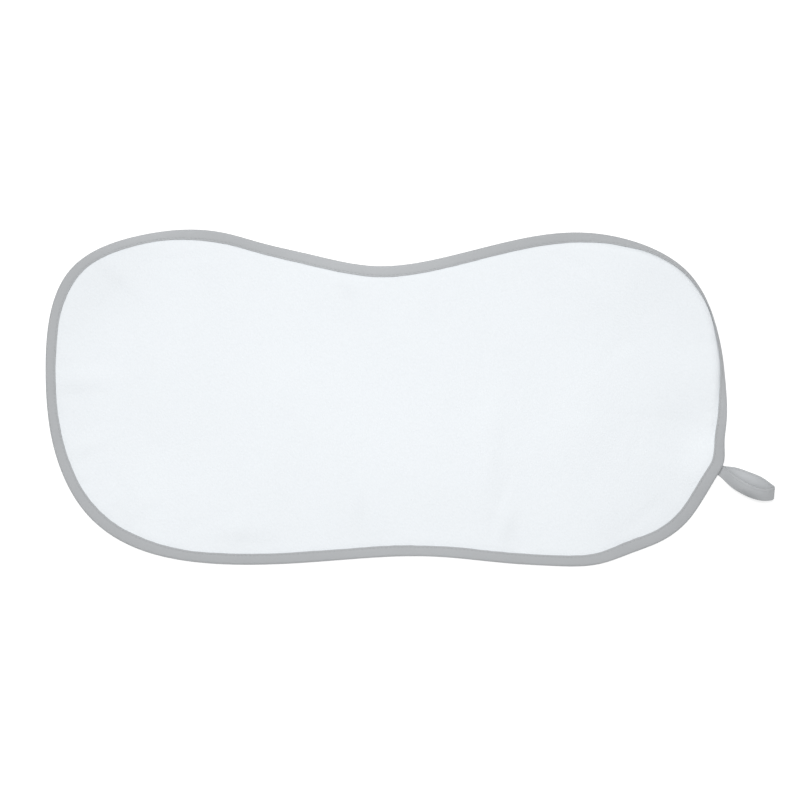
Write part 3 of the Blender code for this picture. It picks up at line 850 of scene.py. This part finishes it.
@dataclass
class Panel:
    """The white cotton panel: a thin closed sheet on its solid's folds, with finer creases in its face."""

    cloth: LaidCloth
    finish: TerryCotton = field(default_factory=TerryCotton)
    cells_long: int = 258
    cells_across: int = 138
    rim_arcs: tuple[float, ...] = (14.5, 13.4, 12.3, 11.2, 10.2, 9.3, 8.5, 7.8, 7.2, 6.6, 4.0, 0.0)
    corners: tuple[tuple[float, float], ...] = ((-205, -102), (207, -105), (214, 103), (-214, 112))
    gather_height: float = 0.22
    gather_reach: float = 26.0
    ripple: float = 0.09
    back_ripple: float = 0.06

    def __post_init__(self) -> None:
        """Works out where the grid's border points lie along the edge."""
        spots = np.array(self.corners, dtype=float)
        corner, _ = self.cloth.nearest(spots[:, 0], spots[:, 1])
        counts = (self.cells_long, self.cells_across, self.cells_long, self.cells_across)
        stations = []
        for i, count in enumerate(counts):
            span = (corner[(i + 1) % 4] - corner[i]) % self.cloth.length
            stations.append((corner[i] + span * np.arange(count) / count) % self.cloth.length)
        self.stations = np.concatenate(stations)

    def relief(self, x: Array, y: Array, along: Array, inset: Array, side: Side) -> Array:
        """How far a face stands out from the plain sheet.

        Args:
            x: Places along the cloth.
            y: Places across the cloth.
            along: Distance along the edge of the nearest edge point.
            inset: Distance in from that point.
            side: The face.

        Returns:
            The distance at each place.
        """
        if side is Side.BACK:
            return -self.back_ripple * (0.5 + 0.5 * plane_noise(x, y, 3.1, 71))
        length = self.cloth.length
        pull = ring_noise(along, length, 96, 5) + 0.5 * ring_noise(along, length, 211, 9)
        gathers = self.gather_height * pull * fade(inset / self.gather_reach)
        creases = sum(crease.at(x, y) for crease in CREASES)
        ripple = 0.6 * plane_noise(x, y, 9.3, 21) + 0.5 * plane_noise(x, y, 4.1, 33)
        return gathers + creases + self.ripple * ripple

    def border_index(self, column: Array, row: Array) -> Array:
        """Place in the ring of stations of each grid point on the border."""
        long, across = self.cells_long, self.cells_across
        index = np.where(row == 0, column, 2 * long + across + (across - row))
        index = np.where(row == across, long + across + (long - column), index)
        index = np.where((column == long) & (row > 0) & (row < across), long + row, index)
        return index % len(self.stations)

    def rim_point(self, along: Array, arc: Array, side: Side) -> Array:
        """Points of one face in the edge zone."""
        centre = self.cloth.plan(along, arc)
        free = 1.0 - self.cloth.pressed(along, arc)
        half = self.cloth.press + (self.cloth.panel_half - self.cloth.press) * free
        stand = self.relief(centre[:, 0], centre[:, 1], along, arc, side) * free
        return self.cloth.edge_point(along, arc, side.value * (half + stand))

    def middle_patch(self, side: Side) -> GridPatch:
        """The face or back inside the edge zone, blended from its four border arcs."""
        long, across = self.cells_long, self.cells_across
        ring = self.cloth.plan(self.stations, np.full(len(self.stations), self.cloth.ring_arc))

        def border(column: Array, row: Array) -> Array:
            """Plan places of border points."""
            return ring[self.border_index(column, row)]

        def place(column: Array, row: Array) -> Array:
            """Points of the grid."""
            u = (column / long)[:, None]
            v = (row / across)[:, None]
            first = np.zeros_like(column)
            end = np.full_like(column, long)
            top = np.full_like(column, across)
            sides = (1 - v) * border(column, first) + v * border(column, top)
            sides += (1 - u) * border(first, row) + u * border(end, row)
            near = (1 - u) * border(first, first) + u * border(end, first)
            far = (1 - u) * border(first, top) + u * border(end, top)
            spot = sides - (1 - v) * near - v * far
            x = spot[:, 0]
            y = spot[:, 1]
            along, inset = self.cloth.nearest(x, y)
            inner = np.maximum(inset - self.cloth.fold_outer, self.cloth.ring_arc)
            stand = self.relief(x, y, along, inner, side)
            half = self.cloth.panel_half
            height = half + side.value * (half + stand) + self.cloth.lift(x, y) + self.cloth.crest(x, y)
            points = np.column_stack([spot, height])
            edge = (column == 0) | (column == long) | (row == 0) | (row == across)
            stations = self.stations[self.border_index(column[edge], row[edge])]
            points[edge] = self.rim_point(stations, np.full(edge.sum(), self.cloth.ring_arc), side)
            return points

        return GridPatch(long, across, place)

    def rim_patch(self) -> GridPatch:
        """The edge zone: from the middle over the face, round the cut edge and back below."""
        count = len(self.stations)
        arcs = np.array(self.rim_arcs)

        def place(column: Array, row: Array) -> Array:
            """Points of the grid."""
            along = self.stations[column % count]
            points = np.empty((len(column), 3))
            for side, rows in ((Side.FACE, row < len(arcs)), (Side.BACK, row >= len(arcs))):
                index = row[rows] if side is Side.FACE else 2 * len(arcs) - 1 - row[rows]
                points[rows] = self.rim_point(along[rows], arcs[index], side)
            return points

        return GridPatch(count, 2 * len(arcs) - 1, place)

    def build(self) -> bpy.types.Object:
        """Makes the panel and dresses it.

        Returns:
            The panel.
        """
        patches = [self.middle_patch(Side.FACE), self.middle_patch(Side.BACK), self.rim_patch()]
        panel = sewn_mesh("cotton_panel", patches)
        # Painted light and shade on the cotton
        set_painted_light_and_shade(panel, COTTON_PAINTED_LIGHT_AND_SHADE)
        panel.data.materials.append(self.finish.material())
        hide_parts("cloth")
        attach(panel, ROOT_BODY)
        return panel


@dataclass
class Binding:
    """The folded bias tape round the whole edge, puffed a little between its fold and its stitches."""

    cloth: LaidCloth
    stitch_inset: float = 1.3
    stitch_pitch: float = 3.0
    dip: float = 0.14
    dip_width: float = 0.8
    puff: float = 0.14
    stations_per_stitch: int = 4
    fold_steps: int = 12
    inner_fold_steps: int = 6
    waver: float = 0.22
    fine_waver: float = 0.1
    face_insets: tuple[float, ...] = (0.0, 0.1, 0.35, 0.8, 1.15, 1.5, 1.85, 2.3, 3.0, 4.0, 5.2)
    lip_rounding: tuple[float, ...] = (0.3, 0.09)
    lip_slack: float = 0.05

    @property
    def stitches(self) -> int:
        """Stitches once round the cloth."""
        return round(self.cloth.length / self.stitch_pitch)

    def lip(self, along: Array) -> Array:
        """Arc distance of the tape's inner edge, which wavers a little."""
        band, _ = self.cloth.finish(along)
        slow = self.waver * ring_noise(along, self.cloth.length, 61, 3)
        quick = self.fine_waver * ring_noise(along, self.cloth.length, 239, 4)
        return band - self.cloth.fold_outer + slow + quick

    def stitch_arc(self, along: Array) -> Array:
        """Arc distance of the stitch line."""
        return self.lip(along) - self.stitch_inset

    def surface(self, along: Array, arc: Array, side: Side) -> Array:
        """Distance from the mid surface of the tape's outer face.

        Args:
            along: Distances along the edge.
            arc: Distances in from the fold's centre.
            side: The face.

        Returns:
            The distances.
        """
        line = self.stitch_arc(along)
        beat = 0.7 + 0.3 * np.cos(2 * math.pi * along * self.stitches / self.cloth.length)
        hollow = self.dip * beat * np.exp(-(((arc - line) / self.dip_width) ** 2))
        body = np.clip(arc / line, 0.0, 1.0)
        swell = self.puff * np.sin(math.pi * body) if side is Side.FACE else 0.0
        return self.cloth.fold_outer - hollow + swell

    def section(self, along: Array) -> tuple[Array, Array, Array]:
        """The folded tape's section at each station.

        Args:
            along: Distances along the edge.

        Returns:
            Arc distance, offset from the mid surface and distance round the section, a station a row.
        """
        lip = self.lip(along)
        share = np.minimum(1.0, lip / self.face_insets[-1])[:, None]
        arcs = lip[:, None] - np.array(self.face_insets) * share
        outer, inner = self.cloth.fold_outer, self.cloth.fold_inner
        rounded = np.pad(np.array(self.lip_rounding), (0, arcs.shape[1] - len(self.lip_rounding)))
        face = np.column_stack([self.surface(along, arc, Side.FACE) for arc in arcs.T]) - rounded
        back = np.column_stack([self.surface(along, arc, Side.BACK) for arc in arcs.T]) - rounded
        fold = np.linspace(math.pi / 2, -math.pi / 2, self.fold_steps + 1)
        inner_fold = np.linspace(-math.pi / 2, math.pi / 2, self.inner_fold_steps + 1)
        every = np.ones((len(lip), 1))
        inside = np.column_stack([lip - self.lip_slack, lip / 2])
        inside_height = np.array([inner + self.lip_slack, inner])
        arc = np.hstack([
            arcs, -outer * np.cos(fold) * every, arcs[:, ::-1],
            inside, -inner * np.cos(inner_fold) * every, inside[:, ::-1],
        ])
        offset = np.hstack([
            face, outer * np.sin(fold) * every, -back[:, ::-1],
            -inside_height * every, inner * np.sin(inner_fold) * every, inside_height[::-1] * every,
        ])
        steps = np.hypot(np.diff(arc, axis=1), np.diff(offset, axis=1))
        around = np.hstack([0.0 * every, np.cumsum(steps, axis=1)])
        return arc, offset, around

    def build(self) -> bpy.types.Object:
        """Makes the binding.

        Returns:
            The binding.
        """
        count = self.stitches * self.stations_per_stitch
        stations = np.arange(count) * self.cloth.length / count
        arc, offset, around = self.section(stations)
        points = arc.shape[1]

        def place(column: Array, row: Array) -> Array:
            """Points of the tape."""
            spot = (column % count, row % points)
            return self.cloth.edge_point(stations[spot[0]], arc[spot], offset[spot])

        def wrap(column: Array, row: Array) -> Array:
            """Distance along the tape and round it."""
            run = column * self.cloth.length / count
            return np.column_stack([run, around[column % count, np.minimum(row, points - 1)]])

        binding = sewn_mesh("edge_binding", [GridPatch(count, points, place, wrap)])
        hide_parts("binding")
        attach(binding, ROOT_BODY)
        return binding


@dataclass
class HangingLoop:
    """The hanging loop: the tape folded double, sewn along one side and bent into a leaning hairpin."""

    cloth: LaidCloth
    steps: int = 14
    across_points: int = 15
    edge_round: float = 0.3
    stitch_side: float = 0.7
    stitch_pitch: float = 2.6
    dip: float = 0.14
    dip_width: float = 0.12

    def __post_init__(self) -> None:
        """Works out the tape's centre line with its lean, thickness and crown."""
        heading = math.radians(self.cloth.loop_heading)
        ahead = np.array([math.cos(heading), math.sin(heading), 0.0])
        self.sideways = np.array([-ahead[1], ahead[0], 0.0])
        self.up = np.array([0.0, 0.0, 1.0])
        table = np.array([row[1:] for row in LOOP])
        root = np.array([*self.cloth.loop_root, 0.0])
        places = root + table[:, :1] * ahead + table[:, 1:2] * self.sideways + table[:, 2:3] * self.up
        chords = np.concatenate([[0.0], np.cumsum(np.linalg.norm(np.diff(places, axis=0), axis=1))])
        knots = np.column_stack([chords, np.zeros(len(chords)), places, table[:, 3:]])
        line = spline(knots, False, self.steps)
        self.centre = line[:, 2:5]
        lean = np.radians(line[:, 5])[:, None]
        self.thick = line[:, 6]
        self.crown = line[:, 7]
        self.half_width = line[:, 8] / 2
        skew = np.radians(line[:, 9])[:, None]
        tangent = np.gradient(self.centre, axis=0)
        self.tangent = tangent / np.linalg.norm(tangent, axis=1)[:, None]
        level = np.cos(skew) * self.sideways - np.sin(skew) * ahead
        across = np.cos(lean) * level + np.sin(lean) * self.up
        across -= (across * self.tangent).sum(axis=1)[:, None] * self.tangent
        self.across = across / np.linalg.norm(across, axis=1)[:, None]
        self.inward = np.cross(self.tangent, self.across)
        steps = np.linalg.norm(np.diff(self.centre, axis=0), axis=1)
        self.along = np.concatenate([[0.0], np.cumsum(steps)])

    def surface(self, index: Array, q: Array, side: Side) -> Array:
        """Points of the tape's outer (FACE) or inner (BACK) face.

        Args:
            index: Which point of the centre line.
            q: Place across the tape, from -1 to 1.
            side: The face.

        Returns:
            The points, one a row.
        """
        rounding = self.edge_round * np.clip((np.abs(q) - 0.9) / 0.1, 0.0, 1.0) ** 2
        beat = 0.7 + 0.3 * np.cos(2 * math.pi * self.along[index] / self.stitch_pitch)
        hollow = self.dip * beat * np.exp(-(((q - self.stitch_side) / self.dip_width) ** 2))
        half = self.thick[index] / 2 - rounding - hollow
        depth = self.crown[index] * q * q - side.value * half
        reach = (q * self.half_width[index])[:, None]
        return self.centre[index] + self.across[index] * reach + self.inward[index] * depth[:, None]

    def build(self) -> bpy.types.Object:
        """Makes the loop.

        Returns:
            The loop.
        """
        count = self.across_points
        spots = np.sin(np.linspace(-math.pi / 2, math.pi / 2, count))

        def place(column: Array, row: Array) -> Array:
            """Points of the tape: across its outer face, then back across its inner one."""
            row = row % (2 * count)
            outer = row < count
            q = spots[np.where(outer, row, 2 * count - 1 - row)]
            points = np.empty((len(column), 3))
            points[outer] = self.surface(column[outer], q[outer], Side.FACE)
            points[~outer] = self.surface(column[~outer], q[~outer], Side.BACK)
            return points

        def wrap(column: Array, row: Array) -> Array:
            """Distance along the tape and round it."""
            return np.column_stack([self.along[column], row * 2 * self.half_width.max() / count])

        loop = sewn_mesh("hanging_loop", [GridPatch(len(self.centre) - 1, 2 * count, place, wrap)])
        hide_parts("loop")
        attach(loop, ROOT_BODY)
        return loop


@dataclass
class Sewing:
    """The grey stitches: a line round each face of the binding, and one along the loop's open side."""

    cloth: LaidCloth
    binding: Binding
    loop: HangingLoop
    finish: SewingThread = field(default_factory=SewingThread)
    thread_radius: float = 0.19
    proud: float = 0.02
    dive: float = 0.2
    share: float = 0.86

    def rows(self) -> tuple[Array, Array, Array, Array]:
        """Where the binding's stitches lie.

        Returns:
            Centres, directions, normals and lengths, one stitch a row.
        """
        count = self.binding.stitches
        pitch = self.cloth.length / count
        along = (np.arange(count) + 0.5) * pitch
        centres, directions, normals, lengths = [], [], [], []
        for side in Side:
            depth = self.cloth.fold_outer - (0.0 if side is Side.FACE else self.thread_radius)
            ends = []
            for step in (-0.5, 0.0, 0.5):
                s = along + step * pitch * self.share
                arc = self.binding.stitch_arc(s)
                ends.append(self.cloth.edge_point(s, arc, np.full(count, side.value * depth)))
            arc = self.binding.stitch_arc(along)
            above = self.cloth.edge_point(along, arc, np.full(count, side.value * (depth + 1.0)))
            centres.append(ends[1])
            directions.append(ends[2] - ends[0])
            normals.append(above - ends[1])
            lengths.append(np.linalg.norm(ends[2] - ends[0], axis=1))
        return tuple(np.concatenate(part) for part in (centres, directions, normals, lengths))

    def loop_rows(self) -> tuple[Array, Array, Array, Array]:
        """Where the loop's stitches lie, as for the binding's."""
        pitch = self.loop.stitch_pitch
        count = int(self.loop.along[-1] / pitch)
        along = (np.arange(count) + 0.5) * pitch
        index = np.searchsorted(self.loop.along, along)
        q = np.full(count, self.loop.stitch_side)
        centres, directions, normals, lengths = [], [], [], []
        for side in Side:
            spot = self.loop.surface(index, q, side)
            normal = -side.value * self.loop.inward[index]
            centres.append(spot + normal * self.proud)
            directions.append(self.loop.tangent[index])
            normals.append(normal)
            lengths.append(np.full(count, pitch * self.share))
        return tuple(np.concatenate(part) for part in (centres, directions, normals, lengths))

    def build(self) -> bpy.types.Object:
        """Makes every stitch, its ends diving into their holes, in one mesh and dresses it.

        Returns:
            The sewing.
        """
        parts = [np.concatenate(pair) for pair in zip(self.rows(), self.loop_rows())]
        centre, direction, normal, length = parts
        direction = direction / np.linalg.norm(direction, axis=1)[:, None]
        side = np.cross(normal, direction)
        side /= np.linalg.norm(side, axis=1)[:, None]
        normal = np.cross(direction, side)
        stitch = bmesh.new()
        bmesh.ops.create_uvsphere(stitch, u_segments=6, v_segments=6, radius=1.0)
        pattern = bpy.data.meshes.new("stitch_pattern")
        stitch.to_mesh(pattern)
        stitch.free()
        shape = np.empty(len(pattern.vertices) * 3, np.float32)
        pattern.vertices.foreach_get("co", shape)
        shape = shape.reshape(-1, 3)
        bm = bmesh.new()
        for _ in range(len(centre)):
            bm.from_mesh(pattern)
        sewing = finished("sewing", bm)
        bpy.data.meshes.remove(pattern)
        points = centre[:, None] + shape[None, :, 2:3] * (direction * length[:, None] / 2)[:, None]
        points += shape[None, :, 0:1] * (side * self.thread_radius)[:, None]
        points += shape[None, :, 1:2] * (normal * self.thread_radius)[:, None]
        points -= shape[None, :, 2:3] ** 2 * (normal * self.dive)[:, None]
        sewing.data.vertices.foreach_set("co", (points * MM).astype(np.float32).ravel())
        sewing.data.update()
        sewing.data.materials.append(self.finish.material())
        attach(sewing, ROOT_BODY)
        return sewing


@dataclass
class Studio:
    """A pale floor, soft light from above and a camera looking straight down."""

    lens: float = 150.0
    sensor: float = 36.0
    view_width: float = 596.8
    aim: tuple[float, float, float] = (10.8, -1.1, 3.0)
    floor_half: float = 4.0
    floor_drop: float = 0.1
    floor_color: Color = (0.65, 0.65, 0.65, 1.0)
    floor_glow: float = 0.52
    world_color: Color = (1.0, 1.0, 1.0, 1.0)
    world_strength: float = 0.36

    def build_floor(self) -> None:
        """Makes the floor, which isn't part of the object."""
        bm = bmesh.new()
        bmesh.ops.create_grid(bm, x_segments=1, y_segments=1, size=self.floor_half)
        bmesh.ops.translate(bm, verts=bm.verts, vec=Vector((0.0, 0.0, -self.floor_drop * MM)))
        floor = finished(FLOOR_NAME, bm)
        board = NodeBoard("pale_floor")
        board.feed(
            board.shader,
            {
                "Base Color": self.floor_color,
                "Roughness": 0.9,
                "Emission Color": self.world_color,
                "Emission Strength": self.floor_glow,
            },
        )
        floor.data.materials.append(board.material)

    def add_light(self, name: str, place: tuple[float, float, float], size: float, energy: float) -> None:
        """Adds a square soft light that points at the cloth.

        Args:
            name: Name of the light.
            place: Where it stands, in metres.
            size: Length of its side, in metres.
            energy: Its power in watts.
        """
        light = bpy.data.lights.new(name, "AREA")
        light.shape = "SQUARE"
        light.size = size
        light.energy = energy
        lamp = bpy.data.objects.new(name, light)
        lamp.location = place
        lamp.rotation_euler = (-Vector(place)).to_track_quat("-Z", "Y").to_euler()
        bpy.context.scene.collection.objects.link(lamp)

    def build_lights(self) -> None:
        """Makes the lights and the even light from all round."""
        world = bpy.data.worlds.new("studio")
        world.use_nodes = True
        sky = world.node_tree.nodes["Background"]
        sky.inputs["Color"].default_value = self.world_color
        sky.inputs["Strength"].default_value = self.world_strength
        bpy.context.scene.world = world
        self.add_light("key", (-0.18, 1.08, 3.6), 2.3, 87.0)
        self.add_light("top", (-0.05, -0.03, 1.4), 0.9, 4.4)

    def build_camera(self) -> None:
        """Makes the camera, over the cloth and looking straight down."""
        data = bpy.data.cameras.new("camera")
        data.lens = self.lens
        data.sensor_width = self.sensor
        data.clip_start = 0.1
        data.clip_end = 20.0
        camera = bpy.data.objects.new("camera", data)
        height = self.view_width * self.lens / self.sensor
        x, y, z = self.aim
        camera.location = (x * MM, y * MM, (z + height) * MM)
        bpy.context.scene.collection.objects.link(camera)
        bpy.context.scene.camera = camera

    def build(self) -> None:
        """Sets up the whole studio."""
        self.build_floor()
        self.build_lights()
        self.build_camera()
        bpy.context.scene.view_settings.view_transform = "Standard"


def report(piece: bpy.types.Object) -> None:
    """Logs a finished piece."""
    LOG.info("%s: %d points, %d faces", piece.name, len(piece.data.vertices), len(piece.data.polygons))


def main() -> None:
    logging.basicConfig(level=logging.INFO, format="%(name)s: %(message)s")
    Studio().build()
    cloth = LaidCloth()
    panel = Panel(cloth).build()
    report(panel)
    binding_form = Binding(cloth)
    binding = binding_form.build()
    loop_form = HangingLoop(cloth)
    loop = loop_form.build()
    tape = BiasTape().material()
    for piece in (binding, loop):
        # Painted light and shade on the tape
        set_painted_light_and_shade(piece, TAPE_PAINTED_LIGHT_AND_SHADE)
        piece.data.materials.append(tape)
        report(piece)
    sewing = Sewing(cloth, binding_form, loop_form).build()
    report(sewing)


if __name__ == "__main__":
    main()
